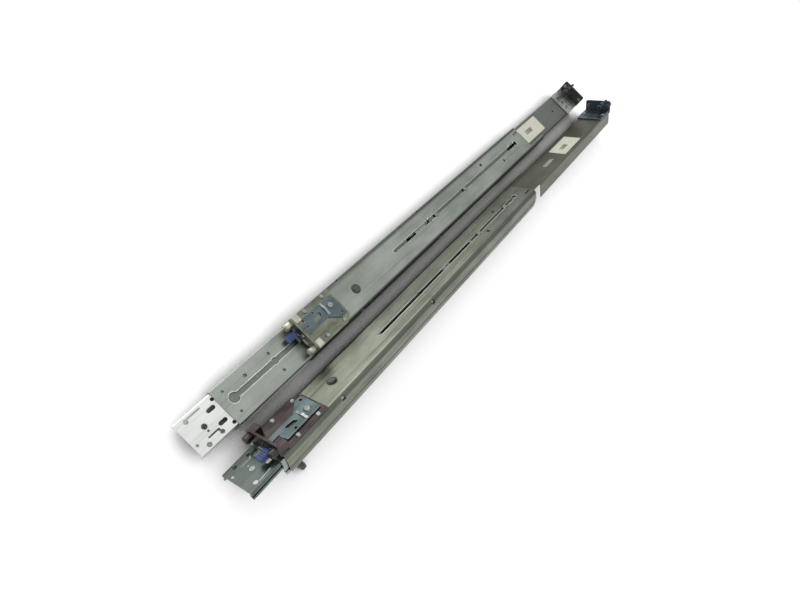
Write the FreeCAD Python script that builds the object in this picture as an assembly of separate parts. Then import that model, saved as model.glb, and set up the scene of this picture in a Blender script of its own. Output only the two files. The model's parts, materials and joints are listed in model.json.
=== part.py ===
import FreeCAD, Part
import math
import os

Vector = FreeCAD.Vector

# Driving sizes, in millimetres. Each rail is drawn with its rack face up:
# x runs from the front flange to the rear, y across, z through the thickness.

# rack interface
peg_pitch = 31.75
peg_radius = 4.0
peg_reach = 7.0
flange_rise = 15.0
flange_thick = 2.0
flange_half = 20.0
bracket_length = 58.0

# slide section
rail_depth = 24.0
rail_half = 22.2
outer_sheet = 1.0
outer_corner = 5.0
member_sheet = 1.0
bead_rise = 0.4
inner_bead_rise = 0.2
wall_gap = 0.5
web_gap = 0.3
ball_radius = 1.2
race_clearance = 0.3
outer_foot = 3.6
middle_foot = 3.6

# member lengths
outer_start = 2.5
outer_length = 490.0
side_ear_reach = 40.0
middle_length = 352.0
inner_overhang = 18.0
middle_shut = 8.0
inner_shut = -12.0
cage_length = 100.0
cage_shut = 130.0
balls_per_side = 2

# rear telescoping piece
tongue_sheet = 1.1
tongue_half = 17.6
rear_overhang = 153.5
ear_clearance = 7.0
rear_half = 19.4
rear_foot = 2.6
rear_shut = 215.0

# small clearances
running_gap = 0.3
pin_clearance = 0.06
seat_gap = 0.3

# where each rail stands at rest: travel of every member from its shut place
left_pose = {"depth": 20.0, "middle": 104.0, "inner": 20.0, "lever": 0.0}
right_pose = {"depth": 138.0, "middle": 10.0, "inner": 14.0, "lever": 80.0}

# where the second rail lies beside the first
pair_spacing = 66.0
right_setback = -99.0
right_roll = 42.0

# sizes that follow from the ones above
track_radius = ball_radius + race_clearance
outer_wall_half = rail_half - bead_rise
outer_inside = outer_wall_half - outer_sheet
outer_race_y = outer_inside + bead_rise - track_radius
middle_half = outer_inside - wall_gap
middle_inside = middle_half - member_sheet
inner_race_y = middle_inside + inner_bead_rise - track_radius
inner_half = middle_inside - wall_gap
inner_inside = inner_half - member_sheet
web_under = rail_depth - outer_sheet
tongue_top = web_under - web_gap
tongue_under = tongue_top - tongue_sheet
middle_top = tongue_under - 2 * web_gap
middle_under = middle_top - member_sheet
inner_top = middle_under - 0.5
inner_under = inner_top - member_sheet
# the two tracks share the wall height: the outer one low, the inner one high
bead_reach = track_radius + member_sheet
spare_height = inner_under - outer_foot - 4 * bead_reach
outer_ball_level = outer_foot + bead_reach + spare_height * 19 / 49
inner_foot = outer_ball_level + bead_reach + spare_height * 11 / 49
inner_ball_level = inner_foot + bead_reach + spare_height * 11 / 49
outer_end = outer_start + outer_length
inner_length = middle_length + inner_overhang
stop_x = middle_shut + middle_length + 8.0
rear_length = outer_end + rear_overhang - rear_shut
tongue_length = stop_x + ear_clearance - rear_shut
flange_top = rail_depth + flange_rise
slot_half = 2.0
slot_y = 2.0
screw_radius = 2.2
slot_start = 160.0
slot_end = outer_end - 28.0
guide_offsets = (15.0, 85.0)


# Drawing helpers

def at(plane, first, second, level=0.0):
    if plane == "yz":
        return Vector(level, first, second)
    if plane == "xz":
        return Vector(first, level, second)
    return Vector(first, second, level)


def rounded_face(plane, corners, level=0.0):
    """A flat face from corners (first, second, radius); radius 0 stays sharp."""
    places = [at(plane, first, second, level) for first, second, radius in corners]
    starts = []
    middles = []
    ends = []
    for index, (first, second, radius) in enumerate(corners):
        here = places[index]
        back = (places[index - 1] - here).normalize()
        ahead = (places[(index + 1) % len(places)] - here).normalize()
        half_angle = back.getAngle(ahead) / 2
        if radius == 0:
            starts.append(here)
            middles.append(None)
            ends.append(here)
            continue
        reach = radius / math.tan(half_angle)
        bisector = (back + ahead).normalize()
        starts.append(here + back * reach)
        middles.append(here + bisector * (radius / math.sin(half_angle) - radius))
        ends.append(here + ahead * reach)
    edges = []
    for index in range(len(corners)):
        if middles[index] is not None:
            edges.append(Part.Arc(starts[index], middles[index], ends[index]).toShape())
        following = starts[(index + 1) % len(corners)]
        if ends[index].distanceToPoint(following) > 1e-6:
            edges.append(Part.makeLine(ends[index], following))
    return Part.Face(Part.Wire(edges))


def box(x0, x1, y0, y1, z0, z1):
    return Part.makeBox(x1 - x0, y1 - y0, z1 - z0, Vector(x0, y0, z0))


def upright(x, y, z0, z1, radius):
    return Part.makeCylinder(radius, z1 - z0, Vector(x, y, z0), Vector(0, 0, 1))


def lengthwise(x0, x1, y, z, radius):
    return Part.makeCylinder(radius, x1 - x0, Vector(x0, y, z), Vector(1, 0, 0))


def crosswise(x, y0, y1, z, radius):
    return Part.makeCylinder(radius, y1 - y0, Vector(x, y0, z), Vector(0, 1, 0))


def long_slot(x0, x1, y, half_width, z0, z1):
    """A slot with round ends that reach x0 and x1."""
    near = x0 + half_width
    far = x1 - half_width
    round_far = Part.Arc(Vector(far, y - half_width, z0), Vector(x1, y, z0), Vector(far, y + half_width, z0))
    round_near = Part.Arc(Vector(near, y + half_width, z0), Vector(x0, y, z0), Vector(near, y - half_width, z0))
    edges = [Part.makeLine(Vector(near, y - half_width, z0), Vector(far, y - half_width, z0)), round_far.toShape(),
             Part.makeLine(Vector(far, y + half_width, z0), Vector(near, y + half_width, z0)), round_near.toShape()]
    return Part.Face(Part.Wire(edges)).extrude(Vector(0, 0, z1 - z0))


def plate(corners, z0, z1):
    return rounded_face("xy", corners, z0).extrude(Vector(0, 0, z1 - z0))


def joined(first, *others):
    return first.fuse(list(others)).removeSplitter()


def without(solid, *tools):
    return solid.cut(list(tools))


def group(solids):
    return Part.makeCompound(solids)


def rivet_head(x, y, z, radius, rise):
    return Part.makeCone(radius, radius - rise * 0.7, rise, Vector(x, y, z), Vector(0, 0, 1))


def headed_pin(x, y, z0, z1, shank, head, head_rise):
    """A pin along z: its shank from z0 to z1 with a low head above."""
    return joined(upright(x, y, z0, z1, shank), rivet_head(x, y, z1, head, head_rise))


# Sections: a bent sheet channel with a ball track rolled into each wall

def channel_face(half, foot, crown, sheet, corner):
    side = 1 if crown > foot else -1
    outside = rounded_face("yz", [(-half, foot, 0), (-half, crown, corner),
                                  (half, crown, corner), (half, foot, 0)])
    inside = rounded_face("yz", [(-half + sheet, foot - side, 0),
                                 (-half + sheet, crown - side * sheet, corner - sheet),
                                 (half - sheet, crown - side * sheet, corner - sheet),
                                 (half - sheet, foot - side, 0)])
    return outside.cut(inside)


def bent_channel(x0, length, half, foot, crown, sheet, corner, races):
    """A drawn channel; each race is (y, level, wall line, outward) and is rolled into both walls.

    The bead of a race shows beyond the wall line: outside it when outward, else inside it."""
    body = channel_face(half, foot, crown, sheet, corner).extrude(Vector(length, 0, 0))
    body.translate(Vector(x0, 0, 0))
    beads = []
    grooves = []
    for race_y, level, wall_line, outward in races:
        beyond = wall_line + 9 if outward else wall_line - 9
        for side in (-1, 1):
            low_y, high_y = sorted((side * wall_line, side * beyond))
            keep = box(x0, x0 + length, low_y, high_y, level - 9, level + 9)
            beads.append(lengthwise(x0, x0 + length, side * race_y, level, track_radius + sheet).common(keep))
            grooves.append(lengthwise(x0 - 1, x0 + length + 1, side * race_y, level, track_radius))
    if beads:
        body = body.fuse(beads).cut(grooves)
    return body.removeSplitter()


# Fixed rail and its front bracket

def outer_channel():
    races = [(outer_race_y, outer_ball_level, outer_inside, True)]
    body = bent_channel(outer_start, outer_length + side_ear_reach, outer_wall_half, outer_foot, rail_depth,
                        outer_sheet, outer_corner, races)
    low = web_under - 1
    high = rail_depth + 1
    far = outer_end + side_ear_reach
    # past the web's end only one shoulder and its wall run on
    cuts = [box(outer_end, far + 1, -16.0, rail_half + 1, outer_foot - 1, high),
            long_slot(slot_start, slot_end, slot_y, slot_half, low, high),
            long_slot(slot_end - 12, slot_end + 6, slot_y, 3.5, low, high),
            upright(slot_start + 76, slot_y - 1.5, low, high, 2.9),
            upright(outer_end - 115.5, slot_y + 9, low, high, 2.4),
            upright(outer_end - 71.5, slot_y - 8, low, high, 2.0),
            upright(88, 0, rail_depth - 0.4, high, 5.5),
            box(outer_end - 14.5, outer_end + 1, 11, 14.5, low, high),
            upright(latch_x(), latch_y(), low, high, 2.0 + pin_clearance)]
    for side, wall_end in ((-1, far), (1, outer_end)):
        low_y, high_y = sorted((side * (outer_inside - 1.2), side * (rail_half + 1)))
        for notch_x in (76, 230):
            cuts.append(box(notch_x, notch_x + 5, low_y, high_y, web_under - 5.5, high))
        corner = rounded_face("xz", [(wall_end - 9, outer_foot - 1, 0), (wall_end + 1, outer_foot - 1, 0),
                                     (wall_end + 1, outer_foot + 9, 0)], low_y)
        cuts.append(corner.extrude(Vector(0, high_y - low_y, 0)))
    body = without(body, *cuts)
    ears = []
    for side in (-1, 1):
        low_y, high_y = sorted((side * 16.0, side * (outer_inside + 0.2)))
        ears.append(box(stop_x, stop_x + outer_sheet, low_y, high_y, ear_low, ear_high))
    return joined(body, *ears)


# ears bent in from the fixed walls, which stop the sliding members
ear_low = 6.0
ear_high = 12.0


def stop_bumpers():
    pads = []
    for side in (-1, 1):
        low_y, high_y = sorted((side * 16.2, side * (outer_inside - 0.4)))
        pad = box(stop_x - 3.4, stop_x, low_y, high_y, ear_low + 0.2, ear_high - 0.2)
        front = [edge for edge in pad.Edges if edge.BoundBox.XMax < stop_x - 3.3]
        pads.append(pad.makeFillet(0.8, front))
    return group(pads)


def rivet_places():
    return [(24.0, -15.5), (50.0, -15.5), (24.0, 17.2), (50.0, 17.2)]


def front_bracket():
    back = outer_start + bracket_length
    bend = [(0, rail_depth, 3.0), (back, rail_depth, 0), (back, rail_depth + flange_thick, 0),
            (flange_thick, rail_depth + flange_thick, 1.0), (flange_thick, flange_top, 0), (0, flange_top, 0)]
    profile = rounded_face("xz", bend, -flange_half)
    body = profile.extrude(Vector(0, 2 * flange_half, 0))
    trim = [(-1, -flange_half - 1, 0), (back + 1, -flange_half - 1, 0),
            (back + 1, -flange_half + 7, 0), (back - 9, -flange_half, 0), (-1, -flange_half, 0)]
    cuts = [plate(trim, rail_depth - 1, rail_depth + 4)]
    cuts.append(box(-1, flange_thick + 1.6, -9.0, 11.2, rail_depth + flange_thick, rail_depth + 6.2))
    for side in (-1, 1):
        cuts.append(lengthwise(-1, 4, side * peg_pitch / 2, peg_level(), 2.6 + pin_clearance))
        clip = rounded_face("yz", [(side * (flange_half - 3), flange_top + 1, 0), (side * (flange_half + 1), flange_top + 1, 0),
                                   (side * (flange_half + 1), flange_top - 3, 0)], -1)
        cuts.append(clip.extrude(Vector(4, 0, 0)))
    cuts.append(lengthwise(-1, 4, 0, screw_level(), screw_radius))
    cuts.append(upright(latch_x(), latch_y(), rail_depth - 1, rail_depth + 4, 2.0 + pin_clearance))
    return without(body, *cuts)


def peg_level():
    return rail_depth + 7.5


def screw_level():
    return flange_top - 5.2


def front_pegs():
    pegs = []
    for side in (-1, 1):
        y = side * peg_pitch / 2
        pin = lengthwise(-peg_reach, 0, y, peg_level(), peg_radius)
        pin = pin.makeChamfer(1.2, [edge for edge in pin.Edges if edge.BoundBox.XMax < -peg_reach + 0.01])
        shank = lengthwise(0, flange_thick, y, peg_level(), 2.6)
        block = box(flange_thick, flange_thick + 9, y - 4.0, y + 4.0, peg_level() - 4.5, peg_level() + 4.5)
        block = block.makeChamfer(0.8, [edge for edge in block.Edges if edge.BoundBox.XMin > flange_thick + 8.9])
        pegs.append(joined(pin, shank, block))
    return group(pegs)


def bracket_rivets():
    return group([rivet_head(x, y, rail_depth + flange_thick, 2.6, 1.0) for x, y in rivet_places()])


# Front latch: a sprung plate that hooks the rack post, with a finger tab

def latch_x():
    return 49.0


def latch_y():
    return 5.0


def latch_level():
    return rail_depth + flange_thick + 0.2


def front_latch():
    low = latch_level()
    high = low + 1.5
    outline = [(15, -2.5, 1), (38, -2.5, 2), (50, -12, 1), (58, -12, 1), (58, 13.6, 2), (15, 13.6, 1)]
    body = plate(outline, low, high)
    finger = box(-3.0, 16, -2.5, 3.0, low, high)
    hook = box(-4.4, -3.0, -2.5, 3.0, low, high + 2.0)
    arm = box(-1.2, 16, 4.5, 9.5, low, high)
    leaf = rounded_face("xy", [(22, 1.0, 1.4), (33, 2.5, 1.4), (36, 7.5, 1.4), (25, 6.0, 1.4)], low - 1)
    cuts = [leaf.extrude(Vector(0, 0, 5)),
            upright(latch_x(), latch_y(), low - 1, high + 1, 2.0 + pin_clearance),
            upright(28, 10.6, low - 1, high + 1, 1.3),
            upright(54, -8, low - 1, high + 1, 1.5)]
    return without(joined(body, finger, hook, arm), *cuts)


def latch_pivot():
    low = web_under + 0.1
    top = latch_level() + 1.5 + 0.15
    return headed_pin(latch_x(), latch_y(), low, top, 2.0, 3.6, 1.2)


def latch_spring():
    low = latch_level() + 1.5
    rise = rounded_face("yz", [(-1.5, low, 0), (13, low, 0), (13, low + 0.5, 0), (10.5, low + 0.6, 1.5),
                               (6, low + 1.9, 6), (1.5, low + 0.6, 1.5), (-1.5, low + 0.5, 0)], 40)
    return rise.extrude(Vector(2.6, 0, 0))


def release_tab():
    low = latch_level() - 1.1
    cap = box(-13.0, -1.4, 3.2, 10.0, low, low + 4.6)
    nose = [edge for edge in cap.Edges if edge.BoundBox.XMax < -12.9]
    cap = cap.makeFillet(1.6, nose)
    grooves = [box(x, x + 0.9, 2.6, 10.8, low + 4.0, low + 6) for x in (-10.5, -8.3, -6.1)]
    return without(cap, *grooves)


# Sliding members

def middle_channel(x0):
    races = [(outer_race_y, outer_ball_level, middle_half - 0.1, False),
             (inner_race_y, inner_ball_level, middle_inside, True)]
    body = bent_channel(x0, middle_length, middle_half, middle_foot, middle_top, member_sheet, 1.8, races)
    low = middle_under - 1
    high = middle_top + 1
    cuts = [long_slot(x0 + 12, x0 + 300, 1.0, 2.5, low, high),
            upright(x0 + 13, 1.2, low, high, 5.0),
            upright(x0 + 64, 1.0, low, high, 3.4),
            upright(x0 + 33.5, 9.5, low, high, 1.9),
            upright(x0 + 300, 1.0, low, high, 3.6),
            long_slot(x0 + 322, x0 + 334, 0, 2.5, low, high)]
    for dx, dy, radius in ((9, 12, 1.3), (9, -12, 1.4), (64, 10.5, 1.7), (64, -11, 1.6)):
        cuts.append(upright(x0 + dx, dy, low, high, radius))
    return without(body, *cuts)


def inner_channel(x0):
    races = [(inner_race_y, inner_ball_level, inner_half - 0.1, False)]
    body = bent_channel(x0, inner_length, inner_half, inner_foot, inner_top, member_sheet, 1.8, races)
    low = inner_under - 1
    high = inner_top + 1
    cuts = [upright(x0 + 38.5, 13.2, low, high, 1.8), upright(x0 + 38.5, -14.4, low, high, 1.8),
            long_slot(x0 + 27.5, x0 + 36.5, 7.5, 2.0, low, high), long_slot(x0 + 27.5, x0 + 36.5, -7.5, 2.0, low, high),
            box(x0 + 12, x0 + 26, 13.7, 15.3, low, high), upright(x0 + 10, 13.2, low, high, 2.3),
            upright(x0 + 26, -13.5, low, high, 2.1), box(x0 + 14, x0 + 25, -10.4, -8.8, low, high),
            upright(x0 + 11, -14.2, low, high, 2.3), upright(x0 + 18, 0, low, high, 2.7),
            upright(x0 + 18, -5, low, high, 1.1), upright(x0 + 3.4, -8, low, high, 1.4),
            box(x0 + 24, x0 + 26, -11.5, -9, low, high)]
    for dx in (190, 330):
        cuts.append(joined(upright(x0 + dx, 0, low, high, 4.6), long_slot(x0 + dx, x0 + dx + 14, 0, 2.4, low, high)))
    body = without(body, *cuts)
    # two lugs under the web carry the lever's pin
    lever = lever_x(x0)
    lugs = []
    for low_y in (lever_y - lug_reach - 1.0, lever_y + lug_reach):
        ear = rounded_face("xz", [(lever - 3.4, inner_under + 0.3, 0), (lever + 3.4, inner_under + 0.3, 0),
                                  (lever + 3.4, lever_z - 2.4, 2.2), (lever - 3.4, lever_z - 2.4, 2.2)], low_y)
        lugs.append(ear.extrude(Vector(0, 1.0, 0)))
    body = joined(body, *lugs)
    return without(body, crosswise(lever, lever_y - 7, lever_y + 7, lever_z, 1.2 + pin_clearance))


# swing-out lever that the inner member carries under its web
lever_y = 8.5
lever_z = inner_under - 2.6
lever_arm = 30.5
lug_reach = 4.2
grip_radius = 6.3


def lever_x(x0):
    return x0 + 50.0


def side_lever(x0):
    hinge = lever_x(x0)
    arm = box(hinge, hinge + lever_arm - 3, lever_y - 3.2, lever_y + 3.2, lever_z - 0.9, lever_z + 0.9)
    barrel = crosswise(hinge, lever_y - 4.0, lever_y + 4.0, lever_z, 1.95)
    bore = crosswise(hinge, lever_y - 5.0, lever_y + 5.0, lever_z, 1.2 + pin_clearance)
    disc = upright(hinge + lever_arm, lever_y, lever_z - 0.9, lever_z + 0.9, 4.0)
    return without(joined(arm, barrel, disc), bore)


def lever_grip(x0):
    x = lever_x(x0) + lever_arm
    body = upright(x, lever_y, lever_z - 3.0, lever_z + 2.0, grip_radius)
    body = body.makeChamfer(0.8, [edge for edge in body.Edges if edge.Closed])
    pocket = upright(x, lever_y, lever_z - 0.9, lever_z + 0.9, 4.05)
    mouth = box(x - 8, x, lever_y - 3.25, lever_y + 3.25, lever_z - 0.9, lever_z + 0.9)
    return without(body, pocket, mouth)


def lever_pin(x0):
    return crosswise(lever_x(x0), lever_y - 5.6, lever_y + 5.6, lever_z, 1.2)


def swung(shape, x0, degrees):
    shape = shape.copy()
    shape.rotate(Vector(lever_x(x0), lever_y, lever_z), Vector(0, 1, 0), degrees)
    return shape


# Ball bearings: one strip of balls in each wall, left and right together

def ball_places(x0):
    pitch = cage_length / balls_per_side
    return [x0 + pitch * (number + 0.5) for number in range(balls_per_side)]


def ball_cage(x0, race_y, wall_y, level):
    strips = []
    for side in (-1, 1):
        low_y, high_y = sorted((side * wall_y, side * (wall_y + 0.3)))
        strip = box(x0, x0 + cage_length, low_y, high_y, level - 2.2, level + 2.2)
        reach = ball_radius + 0.2
        pockets = [box(x - reach, x + reach, low_y - 1, high_y + 1, level - reach, level + reach)
                   for x in ball_places(x0)]
        strips.append(without(strip, *pockets))
    return group(strips)


def ball_row(x0, race_y, level):
    return group([Part.makeSphere(ball_radius, Vector(x, side * race_y, level))
                  for side in (-1, 1) for x in ball_places(x0)])


# Rear telescoping piece, its end plate and its bracket

def rear_slide(x0):
    tongue = box(x0, x0 + tongue_length + 1, -tongue_half, tongue_half, tongue_under, tongue_top)
    rest = bent_channel(x0 + tongue_length, rear_length - tongue_length, rear_half, rear_foot, tongue_top,
                        tongue_sheet, 2.6, [])
    low = tongue_under - 1
    high = tongue_top + 1
    end = x0 + rear_length
    cuts = [upright(x0 + offset, slot_y, low, high, 1.7 + pin_clearance) for offset in guide_offsets]
    cuts.append(upright(end - 65, 0, low, high, 1.8))
    cuts.append(long_slot(x0 + 210, x0 + 240, slot_y, 3.2, low, high))
    nose = plate([(x0 - 1, -tongue_half - 1, 0), (x0 + 6, -tongue_half - 1, 0), (x0 - 1, -tongue_half + 6, 0)], low, high)
    cuts += [nose, nose.mirror(Vector(0, 0, 0), Vector(0, 1, 0))]
    return without(joined(tongue, rest), *cuts)


def rear_guides(x0):
    guides = []
    for offset in guide_offsets:
        guides.append(headed_pin(x0 + offset, slot_y, tongue_under + 0.1, rail_depth + 0.3, 1.7, 3.4, 1.0))
    return group(guides)


def plate_rivet_rows():
    return (-15.6, 15.6)


def rear_end_plate(x0):
    end = x0 + rear_length
    body = plate([(end - 40, -rear_half, 1), (end - 1, -rear_half, 1),
                  (end - 1, rear_half, 1), (end - 40, rear_half, 1)], tongue_top, tongue_top + 1.8)
    cuts = []
    for x in (end - 29, end - 11):
        for y in (-10.5, 0, 10.5):
            cuts.append(upright(x, y, tongue_top - 1, tongue_top + 3, 2.1))
    return without(body, *cuts)


def rear_bracket(x0):
    end = x0 + rear_length
    low = tongue_under - 2.0
    inside = rear_half - tongue_sheet - 2.0
    foot = plate([(end - 40, -inside + 2, 1), (end - 36, -inside, 1), (end + 2.4, -inside, 0),
                  (end + 2.4, inside, 0), (end - 36, inside, 1), (end - 40, inside - 2, 1)], low, tongue_under)
    flange = rounded_face("yz", [(-flange_half, low, 1), (flange_half, low, 1), (flange_half, flange_top, 2.5),
                                 (-flange_half, flange_top, 2.5)], end + 0.4)
    flange = flange.extrude(Vector(flange_thick, 0, 0))
    boss = lengthwise(end - 9.6, end + 0.6, plunger_y, plunger_z, plunger_radius + 1.6)
    body = joined(foot, flange, boss)
    cuts = [lengthwise(end - 12, end + 4, plunger_y, plunger_z, plunger_radius + pin_clearance)]
    for side in (-1, 1):
        cuts.append(lengthwise(end - 1, end + 4, side * peg_pitch / 2, peg_level(), 2.6 + pin_clearance))
    return without(body, *cuts)


def rear_pegs(x0):
    end = x0 + rear_length + 0.4
    pegs = []
    for side in (-1, 1):
        y = side * peg_pitch / 2
        pin = lengthwise(end + flange_thick, end + flange_thick + peg_reach, y, peg_level(), peg_radius)
        pin = pin.makeChamfer(1.2, [edge for edge in pin.Edges if edge.BoundBox.XMin > end + 8.9])
        shank = lengthwise(end, end + flange_thick, y, peg_level(), 2.6)
        pegs.append(joined(pin, shank))
    return group(pegs)


def rear_rivets(x0):
    end = x0 + rear_length
    return group([rivet_head(end - 20, y, tongue_top + 1.8, 2.7, 0.9) for y in plate_rivet_rows()])


# sprung plunger that locks the rear flange to the rack post
plunger_y = 8.4
plunger_z = flange_top - 4.5
plunger_radius = 2.0


def rear_plunger(x0):
    end = x0 + rear_length
    pin = lengthwise(end - 16, end + 16, plunger_y, plunger_z, plunger_radius)
    pin = pin.makeChamfer(1.0, [edge for edge in pin.Edges if edge.BoundBox.XMin > end + 15.9])
    knob = lengthwise(end - 19, end - 16, plunger_y, plunger_z, plunger_radius + 1.8)
    knob = knob.makeChamfer(0.6, [edge for edge in knob.Edges if edge.Closed])
    return joined(pin, knob)


# One rail, and the pair as it lies

def rail_pieces(pose):
    depth_x = rear_shut + pose["depth"]
    middle_x = middle_shut - pose["middle"]
    inner_x = inner_shut - pose["middle"] - pose["inner"]
    outer_cage_x = cage_shut - pose["middle"] / 2
    inner_cage_x = cage_shut - pose["middle"] - pose["inner"] / 2
    return {
        "outer_channel": outer_channel(),
        "stop_bumpers": stop_bumpers(),
        "front_bracket": front_bracket(),
        "front_pegs": front_pegs(),
        "bracket_rivets": bracket_rivets(),
        "front_latch": front_latch(),
        "latch_pivot": latch_pivot(),
        "latch_spring": latch_spring(),
        "release_tab": release_tab(),
        "middle_channel": middle_channel(middle_x),
        "inner_channel": inner_channel(inner_x),
        "outer_cage": ball_cage(outer_cage_x, outer_race_y, middle_half + 0.1, outer_ball_level),
        "outer_balls": ball_row(outer_cage_x, outer_race_y, outer_ball_level),
        "inner_cage": ball_cage(inner_cage_x, inner_race_y, inner_half + 0.1, inner_ball_level),
        "inner_balls": ball_row(inner_cage_x, inner_race_y, inner_ball_level),
        "side_lever": swung(side_lever(inner_x), inner_x, pose["lever"]),
        "lever_grip": swung(lever_grip(inner_x), inner_x, pose["lever"]),
        "lever_pin": lever_pin(inner_x),
        "rear_slide": rear_slide(depth_x),
        "rear_guides": rear_guides(depth_x),
        "rear_end_plate": rear_end_plate(depth_x),
        "rear_bracket": rear_bracket(depth_x),
        "rear_pegs": rear_pegs(depth_x),
        "rear_rivets": rear_rivets(depth_x),
        "rear_plunger": rear_plunger(depth_x),
    }


def floor_level():
    """The lowest edge of the flat rail, which stands on it."""
    return min(outer_foot, middle_foot, rear_foot)


def right_lift():
    """How far the rolled rail is raised so that its lowest edge or its grip meets the floor."""
    roll = math.radians(right_roll)
    edges = [(outer_wall_half, outer_foot), (middle_half, middle_foot), (rear_half, rear_foot)]
    reaches = [half * math.sin(roll) - foot * math.cos(roll) for half, foot in edges]
    open_reach = lever_arm * math.sin(math.radians(right_pose["lever"]))
    grip = (open_reach - lever_z) * math.cos(roll) - lever_y * math.sin(roll) + grip_radius + 0.4
    return floor_level() + max(reaches + [grip])


def laid_right(shape):
    """The other hand: mirrored, rolled about its length, and set beside the first rail."""
    other = shape.mirror(Vector(0, 0, 0), Vector(0, 1, 0))
    other.rotate(Vector(0, 0, 0), Vector(1, 0, 0), -right_roll)
    other.translate(Vector(right_setback, -pair_spacing, right_lift()))
    return other


def main():
    os.makedirs("parts", exist_ok=True)
    pieces = {}
    for name, shape in rail_pieces(left_pose).items():
        pieces["left_" + name] = shape
    for name, shape in rail_pieces(right_pose).items():
        pieces["right_" + name] = laid_right(shape)
    # the origin lies on the floor, under the middle of the pair
    whole = Part.makeCompound(list(pieces.values())).optimalBoundingBox(False, False)
    to_origin = Vector(-whole.Center.x, -whole.Center.y, -whole.ZMin)
    for name, shape in pieces.items():
        shape.translate(to_origin)
        shape.exportStep("parts/" + name + ".step")


main()
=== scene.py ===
import json
import math
import bpy
import bmesh
from mathutils import Matrix, Vector


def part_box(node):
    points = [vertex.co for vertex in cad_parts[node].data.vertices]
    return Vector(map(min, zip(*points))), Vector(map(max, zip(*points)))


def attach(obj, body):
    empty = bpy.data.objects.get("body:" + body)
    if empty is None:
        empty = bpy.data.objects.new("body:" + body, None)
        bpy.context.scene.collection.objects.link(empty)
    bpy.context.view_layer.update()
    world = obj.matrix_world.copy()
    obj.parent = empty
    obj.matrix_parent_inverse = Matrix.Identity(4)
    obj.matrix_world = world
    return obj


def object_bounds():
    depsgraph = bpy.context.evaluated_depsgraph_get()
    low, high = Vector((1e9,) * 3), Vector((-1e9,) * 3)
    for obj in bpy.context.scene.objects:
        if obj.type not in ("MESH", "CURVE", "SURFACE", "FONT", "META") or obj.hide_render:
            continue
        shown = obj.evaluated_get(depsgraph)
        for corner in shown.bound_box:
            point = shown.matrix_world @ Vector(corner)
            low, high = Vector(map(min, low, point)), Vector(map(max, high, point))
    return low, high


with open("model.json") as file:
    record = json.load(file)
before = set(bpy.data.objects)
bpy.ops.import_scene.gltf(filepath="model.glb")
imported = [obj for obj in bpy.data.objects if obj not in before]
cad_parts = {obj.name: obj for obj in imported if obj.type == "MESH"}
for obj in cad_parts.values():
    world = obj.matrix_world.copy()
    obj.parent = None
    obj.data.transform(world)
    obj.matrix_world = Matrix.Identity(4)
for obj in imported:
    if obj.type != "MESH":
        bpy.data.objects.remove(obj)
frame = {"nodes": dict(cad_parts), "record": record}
nodes = frame["nodes"]
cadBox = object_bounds()
mm = 0.001
scene = bpy.context.scene
scene.view_settings.view_transform = "Standard"
print("loaded", len(nodes), "solids of the two rails")


def linearColour(code):
    # sRGB hex to the linear values that shaders and lamps want
    channels = [int(code[i:i + 2], 16) / 255 for i in (1, 3, 5)]
    linear = [c / 12.92 if c <= 0.04045 else ((c + 0.055) / 1.055) ** 2.4 for c in channels]
    return (*linear, 1.0)


def addNode(tree, kind, settings=None, values=None, links=None):
    # one node with its settings, its socket values (a hex string is a colour) and what feeds it
    node = tree.nodes.new(kind)
    for name, value in (settings or {}).items():
        setattr(node, name, value)
    for socket, value in (values or {}).items():
        node.inputs[socket].default_value = linearColour(value) if isinstance(value, str) else value
    for socket, source in (links or {}).items():
        tree.links.new(source, node.inputs[socket])
    return node


# settings that many nodes share
ofColours = {"data_type": "RGBA"}
dotProduct = {"operation": "DOT_PRODUCT"}
multiply = {"operation": "MULTIPLY"}


def blankMaterial(name):
    material = bpy.data.materials.new(name)
    material.use_nodes = True
    material.node_tree.nodes.clear()
    return material, material.node_tree


def patternScale(alongMm, acrossMm):
    # the Mapping scale at which a pattern's marks have this size along and across the rail
    return (1 / mm / alongMm, 1 / mm / acrossMm, 1 / mm / acrossMm)


def edgeWearAndHighlight(tree, facing, look):
    # a rounded normal, and how far it leaves the flat one, which it does only beside an edge
    rounded = addNode(tree, "ShaderNodeBevel", settings={"samples": 4},
                      values={"Radius": look["edgeMm"] * mm})
    likeness = addNode(tree, "ShaderNodeVectorMath", settings=dotProduct,
                       links={0: rounded.outputs["Normal"], 1: facing.outputs["Normal"]})
    # how much of the lighter edge colour goes on: worn bare steel and painted highlight
    wearAndHighlight = addNode(tree, "ShaderNodeMapRange", values={
        "From Min": look["edgeStart"], "From Max": 0.86, "To Max": look["edgeDepth"]},
        links={"Value": likeness.outputs["Value"]})
    return rounded, wearAndHighlight


# zinc-plated cold-rolled sheet, each sheet with its own passivation
nowhere = 9.0  # metres along or across, far past both rails
zincLook = {
    "base": "#a7afa6", "roughness": 0.36, "roughSpread": 0.16,
    # soft patches of the passivation, with their width over their length
    "cloud": "#8d958c", "cloudMm": 30.0, "cloudRatio": 0.45,
    # rub marks where the members slide
    "stain": "#666d66", "streakAlongMm": 110.0, "streakAcrossMm": 3.0, "streakDepth": 0.5,
    # painted shade on the bends, where the sheet turns away from the rack face, and the walls'
    # share of that shade
    "bend": "#4a4f4a", "bendDepth": 0.0, "wallShare": 1.0, "face": (0, 0, 1),
    # painted shade from this X on
    "oil": "#5a5f58", "oilFrom": nowhere, "oilFadeMm": 4.0, "oilDepth": 0.85,
    # painted shade from this Y on, in the colour of the bends
    "soilFrom": nowhere, "soilFadeMm": 3.5, "soilDepth": 0.7,
    # pin-prick dulling of the plating, in the colour of the clouds
    "speckMm": 2.4, "speckDepth": 0.4,
    # bare steel where the sheet was sheared, and painted highlight along the edges
    "edge": "#d9ded8", "edgeMm": 0.35, "edgeStart": 0.985, "edgeDepth": 0.75,
    # rolling lines, drawn about three times too coarse so that they show
    "grainAlongMm": 40.0, "grainAcrossMm": 0.9, "bumpMm": 0.02,
}


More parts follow.
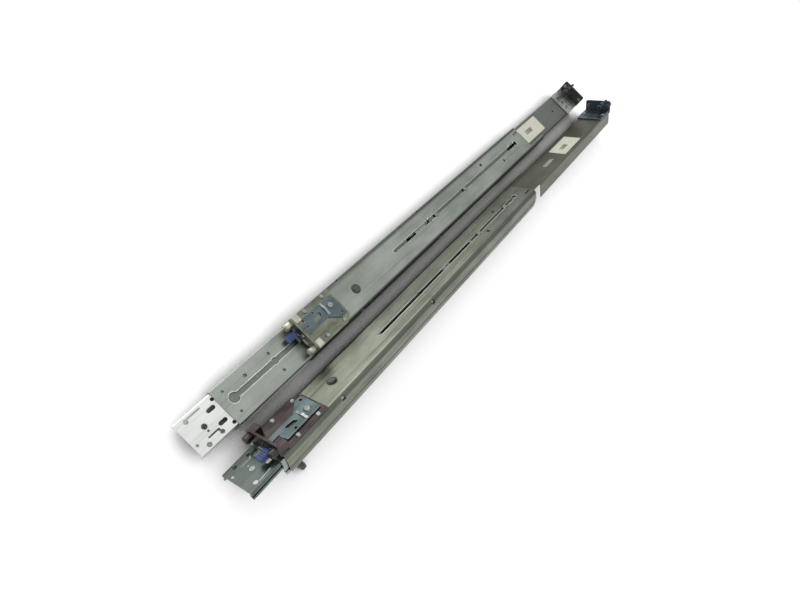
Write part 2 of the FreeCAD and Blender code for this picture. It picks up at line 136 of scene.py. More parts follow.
def platedSheet(name, look):
    # bright metal under a thin clouded film: a soft sheen that breaks into lines along the rail,
    # grey streaks where it is rubbed, painted shade on the bends, and brighter bare steel with
    # painted highlight on the sheared edges
    material, tree = blankMaterial(name)
    place = addNode(tree, "ShaderNodeTexCoord").outputs["Object"]
    apart = addNode(tree, "ShaderNodeSeparateXYZ", links={"Vector": place})
    facing = addNode(tree, "ShaderNodeNewGeometry")
    # clouds
    cloudPlace = addNode(tree, "ShaderNodeMapping", values={
        "Scale": patternScale(look["cloudMm"] / look["cloudRatio"], look["cloudMm"])},
        links={"Vector": place})
    clouds = addNode(tree, "ShaderNodeTexNoise",
                     values={"Scale": 1.0, "Detail": 4.0, "Roughness": 0.62},
                     links={"Vector": cloudPlace.outputs["Vector"]})
    cloudAmount = addNode(tree, "ShaderNodeMapRange", values={"From Min": 0.36, "From Max": 0.66},
                          links={"Value": clouds.outputs["Fac"]})
    # rub marks
    streakPlace = addNode(tree, "ShaderNodeMapping", values={
        "Scale": patternScale(look["streakAlongMm"], look["streakAcrossMm"])},
        links={"Vector": place})
    streaks = addNode(tree, "ShaderNodeTexNoise",
                      values={"Scale": 1.0, "Detail": 5.0, "Roughness": 0.72},
                      links={"Vector": streakPlace.outputs["Vector"]})
    streakAmount = addNode(tree, "ShaderNodeMapRange", values={
        "From Min": 0.54, "From Max": 0.72, "To Max": look["streakDepth"]},
        links={"Value": streaks.outputs["Fac"]})
    # painted shade on the bends, darker as the sheet turns away from the rack face
    lean = addNode(tree, "ShaderNodeVectorMath", settings=dotProduct, values={1: look["face"]},
                   links={0: facing.outputs["Normal"]})
    leanAmount = addNode(tree, "ShaderNodeMapRange", values={
        "From Min": 0.998, "From Max": 0.9, "To Max": look["bendDepth"]},
        links={"Value": lean.outputs["Value"]})
    wallAmount = addNode(tree, "ShaderNodeMapRange", values={
        "From Min": 0.1, "From Max": 0.5, "To Min": look["wallShare"]},
        links={"Value": lean.outputs["Value"]})
    bendShadeAmount = addNode(tree, "ShaderNodeMath", settings=multiply,
                         links={0: leanAmount.outputs["Result"], 1: wallAmount.outputs["Result"]})
    # painted shade on the length that stays inside the rail
    insideShadeAmount = addNode(tree, "ShaderNodeMapRange", values={
        "From Min": look["oilFrom"], "From Max": look["oilFrom"] + look["oilFadeMm"] * mm,
        "To Max": look["oilDepth"]}, links={"Value": apart.outputs["X"]})
    # painted shade along one shoulder
    shoulderShadeAmount = addNode(tree, "ShaderNodeMapRange", values={
        "From Min": look["soilFrom"], "From Max": look["soilFrom"] + look["soilFadeMm"] * mm,
        "To Max": look["soilDepth"]}, links={"Value": apart.outputs["Y"]})
    # dulled specks
    speckPlace = addNode(tree, "ShaderNodeMapping", values={
        "Scale": patternScale(look["speckMm"], look["speckMm"])}, links={"Vector": place})
    specks = addNode(tree, "ShaderNodeTexNoise", values={"Scale": 1.0, "Detail": 2.0},
                     links={"Vector": speckPlace.outputs["Vector"]})
    speckAmount = addNode(tree, "ShaderNodeMapRange", values={
        "From Min": 0.6, "From Max": 0.74, "To Max": look["speckDepth"]},
        links={"Value": specks.outputs["Fac"]})
    rounded, edgeAmount = edgeWearAndHighlight(tree, facing, look)
    # each layer lies over the ones before it
    colour = addNode(tree, "ShaderNodeMix", settings=ofColours,
                     values={6: look["base"], 7: look["cloud"]},
                     links={0: cloudAmount.outputs["Result"]})
    layers = (("stain", streakAmount), ("bend", bendShadeAmount), ("oil", insideShadeAmount),
              ("bend", shoulderShadeAmount), ("cloud", speckAmount), ("edge", edgeAmount))
    for shade, amount in layers:
        colour = addNode(tree, "ShaderNodeMix", settings=ofColours, values={7: look[shade]},
                         links={0: amount.outputs[0], 6: colour.outputs[2]})
    # rolling lines
    grainPlace = addNode(tree, "ShaderNodeMapping", values={
        "Scale": patternScale(look["grainAlongMm"], look["grainAcrossMm"])},
        links={"Vector": place})
    grain = addNode(tree, "ShaderNodeTexNoise",
                    values={"Scale": 1.0, "Detail": 3.0, "Roughness": 0.7},
                    links={"Vector": grainPlace.outputs["Vector"]})
    uneven = addNode(tree, "ShaderNodeMath", settings={"operation": "ADD"},
                     links={0: grain.outputs["Fac"], 1: speckAmount.outputs["Result"]})
    roughness = addNode(tree, "ShaderNodeMapRange", values={
        "From Min": 0.3, "From Max": 1.0,
        "To Min": look["roughness"] - look["roughSpread"] / 2,
        "To Max": look["roughness"] + look["roughSpread"]},
        links={"Value": uneven.outputs["Value"]})
    bump = addNode(tree, "ShaderNodeBump",
                   values={"Strength": 0.4, "Distance": look["bumpMm"] * mm},
                   links={"Height": grain.outputs["Fac"], "Normal": rounded.outputs["Normal"]})
    shader = addNode(tree, "ShaderNodeBsdfPrincipled",
                     values={"Metallic": 1.0, "Anisotropic": 0.35},
                     links={"Base Color": colour.outputs[2],
                            "Roughness": roughness.outputs["Result"],
                            "Normal": bump.outputs["Normal"]})
    addNode(tree, "ShaderNodeOutputMaterial", links={"Surface": shader.outputs["BSDF"]})
    return material


coatLook = {
    "base": "#313230", "worn": "#666660", "handledMm": 8.0,
    "roughness": 0.4, "roughSpread": 0.25,
    "edge": "#8a8b88", "edgeMm": 0.4, "edgeStart": 0.98, "edgeDepth": 0.6,
    # orange peel of the baked powder, drawn a little coarse so that it shows
    "peelMm": 0.8, "bumpMm": 0.04,
}


def powderCoat(name, look):
    # baked polyester powder on steel: a low even sheen with orange peel, rubbed grey on corners
    # and by hands
    material, tree = blankMaterial(name)
    place = addNode(tree, "ShaderNodeTexCoord").outputs["Object"]
    facing = addNode(tree, "ShaderNodeNewGeometry")
    peelPlace = addNode(tree, "ShaderNodeMapping", values={
        "Scale": patternScale(look["peelMm"], look["peelMm"])}, links={"Vector": place})
    peel = addNode(tree, "ShaderNodeTexNoise", values={"Scale": 1.0, "Detail": 2.0},
                   links={"Vector": peelPlace.outputs["Vector"]})
    handledPlace = addNode(tree, "ShaderNodeMapping", values={
        "Scale": patternScale(look["handledMm"], look["handledMm"])}, links={"Vector": place})
    handled = addNode(tree, "ShaderNodeTexNoise",
                      values={"Scale": 1.0, "Detail": 6.0, "Roughness": 0.7},
                      links={"Vector": handledPlace.outputs["Vector"]})
    handledAmount = addNode(tree, "ShaderNodeMapRange", values={
        "From Min": 0.52, "From Max": 0.76, "To Max": 0.7}, links={"Value": handled.outputs["Fac"]})
    dulled = addNode(tree, "ShaderNodeMix", settings=ofColours,
                     values={6: look["base"], 7: look["worn"]},
                     links={0: handledAmount.outputs["Result"]})
    rounded, edgeAmount = edgeWearAndHighlight(tree, facing, look)
    colour = addNode(tree, "ShaderNodeMix", settings=ofColours, values={7: look["edge"]},
                     links={0: edgeAmount.outputs["Result"], 6: dulled.outputs[2]})
    bump = addNode(tree, "ShaderNodeBump",
                   values={"Strength": 0.35, "Distance": look["bumpMm"] * mm},
                   links={"Height": peel.outputs["Fac"], "Normal": rounded.outputs["Normal"]})
    roughness = addNode(tree, "ShaderNodeMapRange", values={
        "To Min": look["roughness"], "To Max": look["roughness"] + look["roughSpread"]},
        links={"Value": handled.outputs["Fac"]})
    shader = addNode(tree, "ShaderNodeBsdfPrincipled", values={"IOR": 1.5},
                     links={"Base Color": colour.outputs[2],
                            "Roughness": roughness.outputs["Result"],
                            "Normal": bump.outputs["Normal"]})
    addNode(tree, "ShaderNodeOutputMaterial", links={"Surface": shader.outputs["BSDF"]})
    return material


steelLook = {"roughSpread": 0.3, "bumpMm": 0.01}  # the spread is a share of the roughness


def groundSteel(name, look):
    # hardened steel, ground or stamped bright: a tight highlight over a fine even grain
    material, tree = blankMaterial(name)
    place = addNode(tree, "ShaderNodeTexCoord").outputs["Object"]
    grainPlace = addNode(tree, "ShaderNodeMapping", values={
        "Scale": patternScale(look["grainMm"], look["grainMm"])}, links={"Vector": place})
    grain = addNode(tree, "ShaderNodeTexNoise", values={"Scale": 1.0, "Detail": 4.0},
                    links={"Vector": grainPlace.outputs["Vector"]})
    colour = addNode(tree, "ShaderNodeMix", settings=ofColours,
                     values={6: look["light"], 7: look["dark"]}, links={0: grain.outputs["Fac"]})
    uneven = addNode(tree, "ShaderNodeMapRange", values={
        "To Min": look["roughness"] * (1 - look["roughSpread"]),
        "To Max": look["roughness"] * (1 + look["roughSpread"])},
        links={"Value": grain.outputs["Fac"]})
    bump = addNode(tree, "ShaderNodeBump",
                   values={"Strength": 0.2, "Distance": look["bumpMm"] * mm},
                   links={"Height": grain.outputs["Fac"]})
    shader = addNode(tree, "ShaderNodeBsdfPrincipled", values={"Metallic": 1.0},
                     links={"Base Color": colour.outputs[2],
                            "Roughness": uneven.outputs["Result"],
                            "Normal": bump.outputs["Normal"]})
    addNode(tree, "ShaderNodeOutputMaterial", links={"Surface": shader.outputs["BSDF"]})
    return material


# spark-eroded skin, with patches that use has made shinier and others that stay duller
skinLook = {"sparkMm": 0.5, "bumpMm": 0.04, "touchMm": 5.0, "shinier": 0.1, "duller": 0.12}


def mouldedGrip(name, look):
    # injection-moulded polyamide or rubber: a matt spark-eroded skin, a little shinier where it
    # is touched
    material, tree = blankMaterial(name)
    place = addNode(tree, "ShaderNodeTexCoord").outputs["Object"]
    skinPlace = addNode(tree, "ShaderNodeMapping", values={
        "Scale": patternScale(look["sparkMm"], look["sparkMm"])}, links={"Vector": place})
    skin = addNode(tree, "ShaderNodeTexNoise", values={"Scale": 1.0, "Detail": 2.0},
                   links={"Vector": skinPlace.outputs["Vector"]})
    touchPlace = addNode(tree, "ShaderNodeMapping", values={
        "Scale": patternScale(look["touchMm"], look["touchMm"])}, links={"Vector": place})
    touch = addNode(tree, "ShaderNodeTexNoise", values={"Scale": 1.0, "Detail": 4.0},
                    links={"Vector": touchPlace.outputs["Vector"]})
    colour = addNode(tree, "ShaderNodeMix", settings=ofColours,
                     values={6: look["light"], 7: look["dark"]}, links={0: touch.outputs["Fac"]})
    bump = addNode(tree, "ShaderNodeBump",
                   values={"Strength": 0.35, "Distance": look["bumpMm"] * mm},
                   links={"Height": skin.outputs["Fac"]})
    uneven = addNode(tree, "ShaderNodeMapRange", values={
        "To Min": look["roughness"] - look["shinier"],
        "To Max": look["roughness"] + look["duller"]},
        links={"Value": touch.outputs["Fac"]})
    shader = addNode(tree, "ShaderNodeBsdfPrincipled", values={"IOR": 1.53},
                     links={"Base Color": colour.outputs[2],
                            "Roughness": uneven.outputs["Result"],
                            "Normal": bump.outputs["Normal"]})
    addNode(tree, "ShaderNodeOutputMaterial", links={"Surface": shader.outputs["BSDF"]})
    return material


latchHinges = {joint["name"].split("_")[0]: joint
               for joint in frame["record"]["behaviour"]["joints"]
               if joint["name"].endswith("_latch_hinge")}


def railAxes(side):
    # the latch pin's place, and the directions across and out of the rail's rack face
    hinge = latchHinges[side]
    turn = 1 if side == "left" else -1
    out = Vector(hinge["axis"]) * turn
    across = out.cross(Vector((1, 0, 0))) * turn
    return Vector(hinge["pos_m"]), across, out


pinFromMiddle = 5.0  # mm from the middle line of a rail's rack face to its latch pin


def railPoint(side, x, acrossMm, levelMm):
    # x is in metres, acrossMm is from the rail's middle line and levelMm from the latch pin
    pin, across, out = railAxes(side)
    onPin = Vector((x, pin.y, pin.z))
    return onPin + across * (acrossMm - pinFromMiddle) * mm + out * levelMm * mm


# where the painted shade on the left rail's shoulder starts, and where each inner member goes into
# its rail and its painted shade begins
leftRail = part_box("left_outer_channel")
leftRailMiddle = (leftRail[0][1] + leftRail[1][1]) / 2
railShadeBounds = {"shoulderMm": 15.5, "bareFrontMm": 44.0}
shadedShoulderFrom = leftRailMiddle + railShadeBounds["shoulderMm"] * mm
hiddenFrom = {side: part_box(side + "_inner_channel")[0][0] + railShadeBounds["bareFrontMm"] * mm
              for side in ("left", "right")}

finishes = {
    # painted shade on the bends and along the left shoulder
    "outerRail": platedSheet("zincPlatedOuterRail", {
        **zincLook, "bend": "#3d423c", "bendDepth": 0.8, "soilFrom": shadedShoulderFrom}),
    # painted shade on the bends follows the rolled rail's own face, with little of it on the walls
    "rolledOuterRail": platedSheet("oliveZincOuterRail", {
        **zincLook, "base": "#929689", "cloud": "#72776c", "stain": "#3f433c",
        "streakDepth": 0.75, "bendDepth": 0.6, "wallShare": 0.1,
        "face": tuple(railAxes("right")[2])}),
    "middleMember": platedSheet("zincPlatedMiddleMember", {
        **zincLook, "base": "#abb3ab", "cloud": "#959d95"}),
    # painted shade on the length hidden inside the rail
    "innerMember": platedSheet("brightZincInnerMember", {
        **zincLook, "base": "#f0f3ef", "cloud": "#dde2dd", "stain": "#a9b0aa",
        "edge": "#fbfcfb", "roughness": 0.42, "streakDepth": 0.35,
        "oilFrom": hiddenFrom["left"]}),
    # painted shade: a darker copy of the left inner member's zinc
    "shadedInner": platedSheet("zincPlatedInnerMember", {
        **zincLook, "base": "#76807a", "cloud": "#5c645f", "stain": "#3c433f",
        "oilFrom": hiddenFrom["right"]}),
    "rearSlide": platedSheet("greyZincRearSlide", {
        **zincLook, "base": "#7b807a", "cloud": "#6a6f69", "stain": "#4d524d",
        "edge": "#b3b8b2"}),
    "oliveSlide": platedSheet("oliveZincRearSlide", {
        **zincLook, "base": "#77786a", "cloud": "#64655a", "stain": "#484a3e",
        "edge": "#b3b4a4"}),
    "endPlate": platedSheet("zincPlatedEndPlate", {
        **zincLook, "base": "#c0c6c0", "cloud": "#a2a8a2",
        "cloudMm": 14.0, "grainAlongMm": 12.0}),
    "blueEndPlate": platedSheet("bluePassivatedEndPlate", {
        **zincLook, "base": "#6f7f8a", "cloud": "#586874", "stain": "#3d4a54",
        "cloudMm": 14.0, "grainAlongMm": 12.0}),
    "frontFlange": platedSheet("oliveChromateBracket", {
        **zincLook, "base": "#8f9384", "cloud": "#696d5f", "stain": "#3d4036",
        "edge": "#ecebdd", "cloudMm": 10.0, "grainAlongMm": 9.0, "grainAcrossMm": 1.6}),
    # painted shade: a darker copy of the left bracket's chromate, also used on the front pegs
    "brownFlange": platedSheet("blackChromateBracket", {
        **zincLook, "base": "#5d5553", "cloud": "#453f3f", "stain": "#2c2828",
        "edge": "#a8a29c", "cloudMm": 10.0, "grainAlongMm": 9.0, "grainAcrossMm": 1.6}),
    "latchPlate": platedSheet("bluePassivatedLatch", {
        **zincLook, "base": "#6f7d80", "cloud": "#566265", "stain": "#383f42",
        "edge": "#e2e7ea", "cloudMm": 9.0, "grainAlongMm": 8.0, "grainAcrossMm": 1.4}),
    "paleFitting": platedSheet("zincPlatedPegs", {
        **zincLook, "base": "#d5d4c3", "cloud": "#b4b3a0", "stain": "#7d7c6b",
        "edge": "#f4f4ea", "cloudMm": 5.0, "grainAlongMm": 3.0, "grainAcrossMm": 1.0}),
    "smallFitting": platedSheet("zincPlatedRivets", {
        **zincLook, "base": "#a9aea9", "cloud": "#8b908b",
        "cloudMm": 5.0, "grainAlongMm": 3.0, "grainAcrossMm": 1.0}),
    "blackBracket": powderCoat("blackPowderCoatBracket", coatLook),
    "blueBlackBracket": powderCoat("blueBlackPowderCoatBracket", {
        **coatLook, "base": "#33414c", "worn": "#5c6b75", "edge": "#8a98a1"}),
    "darkPressing": platedSheet("darkenedPressing", {
        **zincLook, "base": "#5f6862", "cloud": "#474f4a", "stain": "#2d332f",
        "edge": "#8f9891", "cloudMm": 4.0}),
    # painted highlight: the slot lips are paler than the sheets they stand on
    "slotLip": platedSheet("burnishedSlotLip", {
        **zincLook, "base": "#d9dfd4", "cloud": "#b9c0b4", "stain": "#7f867b",
        "edge": "#f2f4ee", "cloudMm": 8.0}),
    "springStrip": groundSteel("springSteelStrip", {
        **steelLook, "light": "#b6b9bb", "dark": "#8f9295", "roughness": 0.3,
        "grainMm": 1.5}),
    "trackBalls": groundSteel("hardenedBearingSteel", {
        **steelLook, "light": "#e2e4e6", "dark": "#c9cccf", "roughness": 0.1,
        "grainMm": 1.0}),
    "blueTab": mouldedGrip("bluePolyamideTab", {
        **skinLook, "light": "#50649a", "dark": "#34487a", "roughness": 0.5}),
    "leverGrip": mouldedGrip("greyPolyamideGrip", {
        **skinLook, "light": "#505254", "dark": "#3b3d3f", "roughness": 0.52}),
    "bumper": mouldedGrip("nitrileRubberBumper", {
        **skinLook, "light": "#242425", "dark": "#191919", "roughness": 0.72,
        "sparkMm": 0.6}),
}

finishOfPiece = {
    "outer_channel": "outerRail", "middle_channel": "middleMember",
    "inner_channel": "innerMember", "rear_slide": "rearSlide",
    "front_bracket": "frontFlange", "rear_bracket": "blackBracket",
    "rear_end_plate": "endPlate", "rear_plunger": "blackBracket",
    "front_latch": "latchPlate", "release_tab": "blueTab", "lever_grip": "leverGrip",
    "stop_bumpers": "bumper", "front_pegs": "paleFitting",
    "rear_pegs": "smallFitting", "rear_guides": "smallFitting", "rear_rivets": "smallFitting",
    "bracket_rivets": "smallFitting", "latch_pivot": "smallFitting", "side_lever": "smallFitting",
    "latch_spring": "springStrip", "lever_pin": "springStrip",
    "outer_cage": "springStrip", "inner_cage": "springStrip",
    "outer_balls": "trackBalls", "inner_balls": "trackBalls",
}
# the rolled rail's pieces get finishes of their own; on its inner member, front bracket and front
# pegs they are darker copies, painted shade
finishOfRightPiece = {
    "outer_channel": "rolledOuterRail", "inner_channel": "shadedInner",
    "rear_slide": "oliveSlide", "rear_end_plate": "blueEndPlate",
    "front_bracket": "brownFlange", "rear_bracket": "blueBlackBracket",
    "front_pegs": "brownFlange",
}

for nodeName, solid in nodes.items():
    side, piece = nodeName.split("_", 1)
    finish = finishOfPiece[piece]
    if side == "right":
        finish = finishOfRightPiece.get(piece, finish)
    solid.data.materials.clear()
    solid.data.materials.append(finishes[finish])
print("finishes on every solid")


def addPiece(mesh, name, body, material, turned=True):
    # a turned or rolled shape is smooth, with its normals outwards; a sheet keeps its own
    if turned:
        bmesh.ops.recalc_face_normals(mesh, faces=mesh.faces)
    data = bpy.data.meshes.new(name)
    mesh.to_mesh(data)
    mesh.free()
    for face in data.polygons:
        face.use_smooth = turned
    data.materials.append(material)
    piece = bpy.data.objects.new(name, data)
    scene.collection.objects.link(piece)
    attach(piece, body)
    return piece


# sizes in mm: the sheet is lifted a hair at the corner past curlFrom, and its block of bars is
# given by its middle and half its size, as shares of the sheet
rearLabel = {
    "length": 60.0, "width": 26.5, "thickness": 0.12, "corner": 1.6,
    "fromEnd": 143.5, "across": 1.5, "level": -4.25,
    "curl": 2.1, "curlFrom": 0.8, "columns": 24, "rows": 12,
    "paper": "#dcdbcd", "shade": "#c6c5b4", "mottle": 7.0, "bump": 0.05,
    "ink": "#4b4b46", "bar": 1.1, "inked": 0.47, "blockX": (0.4, 0.16), "blockY": (0.52, 0.13),
}


def paperLabel(side, look, material):
    # a thin sheet with round corners, stuck flat on the rear slide
    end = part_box(side + "_rear_slide")[1][0]
    startX = end - look["fromEnd"] * mm
    centre = railPoint(side, startX, look["across"], look["level"])
    across = railAxes(side)[1]
    straightU = look["length"] / 2 - look["corner"]
    straightV = look["width"] / 2 - look["corner"]
    mesh = bmesh.new()
    grid = []
    for row in range(look["rows"] + 1):
        line = []
        for column in range(look["columns"] + 1):
            u = (column / look["columns"] - 0.5) * look["length"]
            v = (row / look["rows"] - 0.5) * look["width"]
            # the outermost points are pulled in to round the corners
            if abs(u) > straightU and abs(v) > straightV:
                reach = math.hypot(abs(u) - straightU, abs(v) - straightV)
                if reach > look["corner"]:
                    shrink = look["corner"] / reach
                    u = math.copysign(straightU + (abs(u) - straightU) * shrink, u)
                    v = math.copysign(straightV + (abs(v) - straightV) * shrink, v)
            past = max(0.0, u / look["length"] + v / look["width"] - look["curlFrom"])
            lift = look["thickness"] + look["curl"] * past ** 2
            line.append(mesh.verts.new(railPoint(
                side, startX + u * mm, look["across"] + v, look["level"] + lift)))
        grid.append(line)
    for row in range(look["rows"]):
        for column in range(look["columns"]):
            corners = [grid[row][column], grid[row][column + 1],
                       grid[row + 1][column + 1], grid[row + 1][column]]
            mesh.faces.new(corners if side == "left" else corners[::-1])
    uv = mesh.loops.layers.uv.new("sheet")
    for face in mesh.faces:
        for loop in face.loops:
            offset = (loop.vert.co - centre) / mm
            loop[uv].uv = (offset.x / look["length"] + 0.5,
                           offset.dot(across) / look["width"] + 0.5)
    sheet = addPiece(mesh, side + "_label", side + "_rear", material, turned=False)
    thick = sheet.modifiers.new("paper", "SOLIDIFY")
    thick.thickness = look["thickness"] * mm
    thick.offset = -1


def labelPaper(look):
    # matt coated paper with a faint mottle, and a plain block of bars printed on it
    material, tree = blankMaterial("coatedPaperLabel")
    place = addNode(tree, "ShaderNodeTexCoord")
    mottlePlace = addNode(tree, "ShaderNodeMapping", values={
        "Scale": patternScale(look["mottle"], look["mottle"])},
        links={"Vector": place.outputs["Object"]})
    mottle = addNode(tree, "ShaderNodeTexNoise", values={"Scale": 1.0, "Detail": 4.0},
                     links={"Vector": mottlePlace.outputs["Vector"]})
    paper = addNode(tree, "ShaderNodeMix", settings=ofColours,
                    values={6: look["paper"], 7: look["shade"]}, links={0: mottle.outputs["Fac"]})
    # bars of uneven width, about half a millimetre each
    apart = addNode(tree, "ShaderNodeSeparateXYZ", links={"Vector": place.outputs["UV"]})
    barPlace = addNode(tree, "ShaderNodeCombineXYZ", links={"X": apart.outputs["X"]})
    bars = addNode(tree, "ShaderNodeTexNoise",
                   values={"Scale": look["length"] / look["bar"], "Detail": 0.0},
                   links={"Vector": barPlace.outputs["Vector"]})
    ink = addNode(tree, "ShaderNodeMath", settings={"operation": "GREATER_THAN"},
                  values={1: look["inked"]}, links={0: bars.outputs["Fac"]})
    # the bars show only inside the block
    printed = ink
    for axis, (middle, half) in (("X", look["blockX"]), ("Y", look["blockY"])):
        inside = addNode(tree, "ShaderNodeMath", settings={"operation": "COMPARE"},
                         values={1: middle, 2: half}, links={0: apart.outputs[axis]})
        printed = addNode(tree, "ShaderNodeMath", settings=multiply,
                          links={0: printed.outputs["Value"], 1: inside.outputs["Value"]})
    colour = addNode(tree, "ShaderNodeMix", settings=ofColours, values={7: look["ink"]},
                     links={0: printed.outputs["Value"], 6: paper.outputs[2]})
    bump = addNode(tree, "ShaderNodeBump",
                   values={"Strength": 0.2, "Distance": look["bump"] * mm},
                   links={"Height": mottle.outputs["Fac"]})
    shader = addNode(tree, "ShaderNodeBsdfPrincipled", values={"Roughness": 0.62, "IOR": 1.46},
                     links={"Base Color": colour.outputs[2], "Normal": bump.outputs["Normal"]})
    addNode(tree, "ShaderNodeOutputMaterial", links={"Surface": shader.outputs["BSDF"]})
    return material


paper = labelPaper(rearLabel)
for side in ("left", "right"):
    paperLabel(side, rearLabel, paper)
print("labels on both rear slides")


# the pressed shapes that stand on the sheets: (radius, height) in mm from the middle out, and
# the level that they stand on
webButton = {
    "profile": [(0, 0.15), (1.6, 0.17), (3.6, 0.3), (4.3, 0.72), (4.75, 0.85), (5.15, 0.7),
                (5.3, 0.02)],
    "around": 40, "level": -3.35, "behindPin": 39.0,
}
plateShadeDome = {
    "profile": [(0, 0.42), (0.5, 0.4), (0.95, 0.22), (1.15, 0.0)],
    "around": 18, "level": -2.47,
    # distance from the plate's end, and the places across it
    "rows": [(35.5, (-12, -4, 4, 12)), (20.0, (-15.5, -5.2, 5.2, 15.5)), (5.0, (-12, -4, 4, 12))],
}


def pressing(mesh, side, x, acrossMm, look):
    # a small round shape turned about its own middle
    rings = []
    for radius, height in look["profile"]:
        steps = 1 if radius == 0 else look["around"]
        ring = []
        for step in range(steps):
            angle = 2 * math.pi * step / steps
            ring.append(mesh.verts.new(railPoint(
                side, x + math.cos(angle) * radius * mm, acrossMm + math.sin(angle) * radius,
                look["level"] + height)))
        rings.append(ring)
    for inner, outer in zip(rings, rings[1:]):
        for step in range(len(outer)):
            after = (step + 1) % len(outer)
            if len(inner) == 1:
                mesh.faces.new([inner[0], outer[step], outer[after]])
            else:
                mesh.faces.new([inner[step], outer[step], outer[after], inner[after]])


for side in ("left", "right"):
    # the round pressing behind the bracket
    mesh = bmesh.new()
    pressing(mesh, side, railAxes(side)[0].x + webButton["behindPin"] * mm, 0.0, webButton)
    addPiece(mesh, side + "_web_button", "rails", finishes["darkPressing"])
    # painted shade: small dark rivet-like domes between the holes of the end plate, in place of
    # further dark holes
    mesh = bmesh.new()
    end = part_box(side + "_rear_slide")[1][0]
    for fromEnd, places in plateShadeDome["rows"]:
        for acrossMm in places:
            pressing(mesh, side, end - fromEnd * mm, acrossMm, plateShadeDome)
    addPiece(mesh, side + "_plate_rivets", side + "_rear", finishes["darkPressing"])
print("pressings and rivets")


# the rolled lip round each long slot, in mm: x from the channel's front end and across from the
# rail's middle, with the (x, radius) of the round openings that the slot meets
slotLips = {
    "outer": {"from": 157.5, "to": 462.0, "across": 2.0, "half": 2.0,
              "rounds": [(233.5, 2.9), (450.5, 3.5), (465.0, 3.5)],
              "height": 0.4, "width": 0.8, "level": -2.96, "body": "rails"},
    "middle": {"from": 12.0, "to": 300.0, "across": 1.1, "half": 2.5,
               "rounds": [(13.0, 5.0), (64.0, 3.4), (300.0, 3.6)],
               "height": 0.17, "width": 0.9, "level": -5.96, "body": "{side}_middle"},
}
lipSection = ((0.02, 0.0), (0.2, 1.0), (0.65, 0.9), (1.0, 0.0))  # shares of width and height
lipSteps = {"fine": 0.25, "coarse": 2.0, "nearCorner": 6.0}  # mm along the edge


def slotEdge(look):
    # the slot and its round openings as one outline, in mm
    shapes = [(look["from"] + look["half"], look["to"] - look["half"], look["half"])]
    shapes += [(x, x, radius) for x, radius in look["rounds"]]
    corners = [x for x0, x1, radius in shapes for x in (x0 - radius, x0, x1, x1 + radius)]
    x, high = min(corners), max(corners)
    stations = []
    while x < high:
        stations.append(x)
        close = min(abs(x - corner) for corner in corners) < lipSteps["nearCorner"]
        x += lipSteps["fine"] if close else lipSteps["coarse"]
    stations.append(high)
    halfWidths = []
    for x in stations:
        reach = 0.0
        for x0, x1, radius in shapes:
            off = max(x0 - x, x - x1, 0.0)
            if off < radius:
                reach = max(reach, math.sqrt(radius * radius - off * off))
        halfWidths.append(reach)
    upper = list(zip(stations, halfWidths))
    return upper + [(x, -reach) for x, reach in reversed(upper[1:-1])]


def slotLip(side, name, look):
    # a low rounded strip that follows the slot's edge on its outside
    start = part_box(side + "_" + name + "_channel")[0][0]
    edge = slotEdge(look)
    mesh = bmesh.new()
    rings = []
    for index, (x, y) in enumerate(edge):
        before, after = edge[index - 1], edge[(index + 1) % len(edge)]
        alongX, alongY = after[0] - before[0], after[1] - before[1]
        length = math.hypot(alongX, alongY) or 1.0
        ring = []
        for widthShare, heightShare in lipSection:
            grow = widthShare * look["width"]
            shiftX, shiftY = -alongY / length * grow, alongX / length * grow
            ring.append(mesh.verts.new(railPoint(
                side, start + (x + shiftX) * mm, look["across"] + y + shiftY,
                look["level"] + heightShare * look["height"])))
        rings.append(ring)
    for index, ring in enumerate(rings):
        after = rings[(index + 1) % len(rings)]
        for step in range(len(lipSection) - 1):
            mesh.faces.new([ring[step], ring[step + 1], after[step + 1], after[step]])
    addPiece(mesh, side + "_" + name + "_slot_lip", look["body"].format(side=side),
             finishes["slotLip"])


for side in ("left", "right"):
    for name, look in slotLips.items():
        slotLip(side, name, look)
print("lips round the long slots")


# seamless white paper: it looks white to the eye and in reflections, and takes the rails' shadow;
# close beside metal its colour and glow are pulled dark as well, painted shade
floorLook = {"paper": "#f6f6f6", "shade": "#3c3e38", "contactMm": 30.0, "glow": 0.36,
             "half": 40.0, "belowMm": 0.2}

half = floorLook["half"]
floorMesh = bpy.data.meshes.new("floor")
floorMesh.from_pydata([(-half, -half, 0), (half, -half, 0), (half, half, 0), (-half, half, 0)],
                      [], [(0, 1, 2, 3)])
floor = bpy.data.objects.new("floor", floorMesh)
scene.collection.objects.link(floor)
floor.location.z = cadBox[0][2] - floorLook["belowMm"] * mm
floorMaterial, floorTree = blankMaterial("paperFloor")
rays = addNode(floorTree, "ShaderNodeLightPath")
eyeOrGloss = addNode(floorTree, "ShaderNodeMath", settings={"operation": "MAXIMUM"},
                     links={0: rays.outputs["Is Camera Ray"], 1: rays.outputs["Is Glossy Ray"]})
seen = addNode(floorTree, "ShaderNodeMath", settings={"operation": "MAXIMUM"},
               links={0: eyeOrGloss.outputs["Value"], 1: rays.outputs["Is Transmission Ray"]})
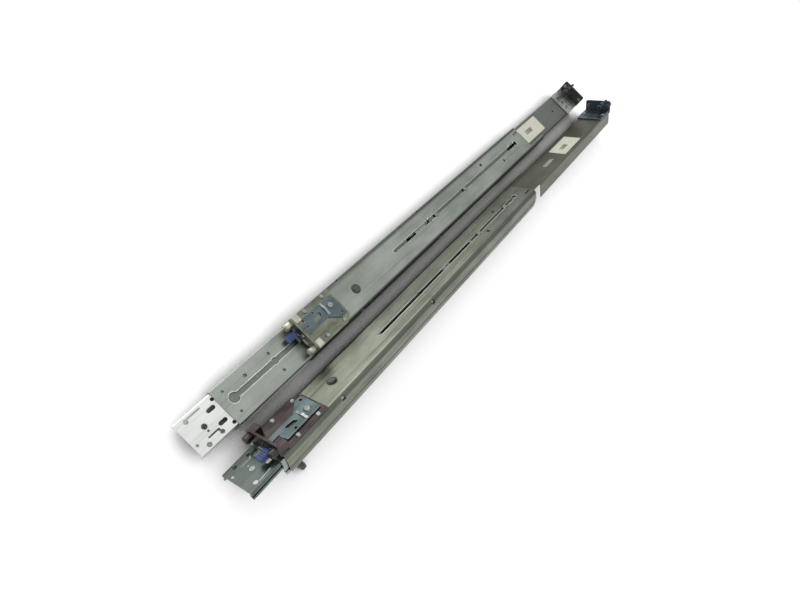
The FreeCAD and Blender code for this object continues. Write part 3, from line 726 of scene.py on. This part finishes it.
# painted shade: the nearer the metal, the more the paper takes the dark shade colour and the less
# it glows
contact = addNode(floorTree, "ShaderNodeAmbientOcclusion", settings={"samples": 8},
                  values={"Distance": floorLook["contactMm"] * mm})
openness = addNode(floorTree, "ShaderNodeMapRange", values={"From Min": 0.32, "From Max": 0.85},
                   links={"Value": contact.outputs["AO"]})
paperWithPaintedShade = addNode(floorTree, "ShaderNodeMix", settings=ofColours,
                    values={6: floorLook["shade"], 7: floorLook["paper"]},
                    links={0: openness.outputs["Result"]})
openGlow = addNode(floorTree, "ShaderNodeMath", settings=multiply,
                   links={0: seen.outputs["Value"], 1: openness.outputs["Result"]})
glow = addNode(floorTree, "ShaderNodeMapRange", values={"To Max": floorLook["glow"]},
               links={"Value": openGlow.outputs["Value"]})
floorShader = addNode(floorTree, "ShaderNodeBsdfPrincipled", values={
    "Roughness": 0.9, "Specular IOR Level": 0.1, "Emission Color": "#ffffff"},
    links={"Base Color": paperWithPaintedShade.outputs[2], "Emission Strength": glow.outputs["Result"]})
addNode(floorTree, "ShaderNodeOutputMaterial", links={"Surface": floorShader.outputs["BSDF"]})
floorMesh.materials.append(floorMaterial)

# a tent that is bright overhead and greyer towards the horizon
tent = {"zenith": "#ffffff", "horizon": "#b2b4b6", "strength": 0.9}

world = bpy.data.worlds.new("studio")
scene.world = world
world.use_nodes = True
worldTree = world.node_tree
worldTree.nodes.clear()
direction = addNode(worldTree, "ShaderNodeTexCoord")
height = addNode(worldTree, "ShaderNodeSeparateXYZ",
                 links={"Vector": direction.outputs["Generated"]})
rise = addNode(worldTree, "ShaderNodeMapRange", settings={"interpolation_type": "SMOOTHSTEP"},
               values={"From Min": 0.1, "From Max": 0.85}, links={"Value": height.outputs["Z"]})
tentTone = addNode(worldTree, "ShaderNodeMix", settings=ofColours,
                   values={6: tent["horizon"], 7: tent["zenith"]},
                   links={0: rise.outputs["Result"]})
sky = addNode(worldTree, "ShaderNodeBackground", values={"Strength": tent["strength"]},
              links={"Color": tentTone.outputs[2]})
addNode(worldTree, "ShaderNodeOutputWorld", links={"Surface": sky.outputs["Background"]})

# one soft box out to the left of the pair, pointed at its middle
keyBox = {"place": (0.35, 1.5, 0.75), "size": (1.5, 0.8), "watts": 9.0, "tint": "#fffdf8"}

light = bpy.data.lights.new("keyBox", "AREA")
light.shape = "RECTANGLE"
light.size, light.size_y = keyBox["size"]
light.energy = keyBox["watts"]
light.color = linearColour(keyBox["tint"])[:3]
lamp = bpy.data.objects.new("keyBox", light)
scene.collection.objects.link(lamp)
lamp.location = keyBox["place"]
lamp.rotation_euler = (-Vector(keyBox["place"])).to_track_quat("-Z", "Y").to_euler()

# the camera stands over the front ends and looks down along the rails; places are in metres
# from the left rail's front end and middle line
view = {"behindRail": -0.2472, "besideRail": -0.0413, "height": 0.512,
        "down": 53.5, "roll": 45.0, "lens": 25.2, "sensor": 36.0, "clipStart": 0.01}

place = Vector((leftRail[0][0] + view["behindRail"], leftRailMiddle + view["besideRail"],
                view["height"]))
tilt = math.radians(view["down"])
roll = math.radians(view["roll"])
forward = Vector((math.cos(tilt), 0, -math.sin(tilt)))
railUp = Vector((math.sin(tilt), 0, math.cos(tilt)))
up = railUp * math.cos(roll) + Vector((0, 1, 0)) * math.sin(roll)
right = forward.cross(up)
camera = bpy.data.objects.new("camera", bpy.data.cameras.new("camera"))
scene.collection.objects.link(camera)
turn = Matrix((right, up, -forward)).transposed().to_4x4()
camera.matrix_world = Matrix.Translation(place) @ turn
camera.data.lens = view["lens"]
camera.data.sensor_width = view["sensor"]
camera.data.clip_start = view["clipStart"]
scene.camera = camera
print("floor, light and camera ready")
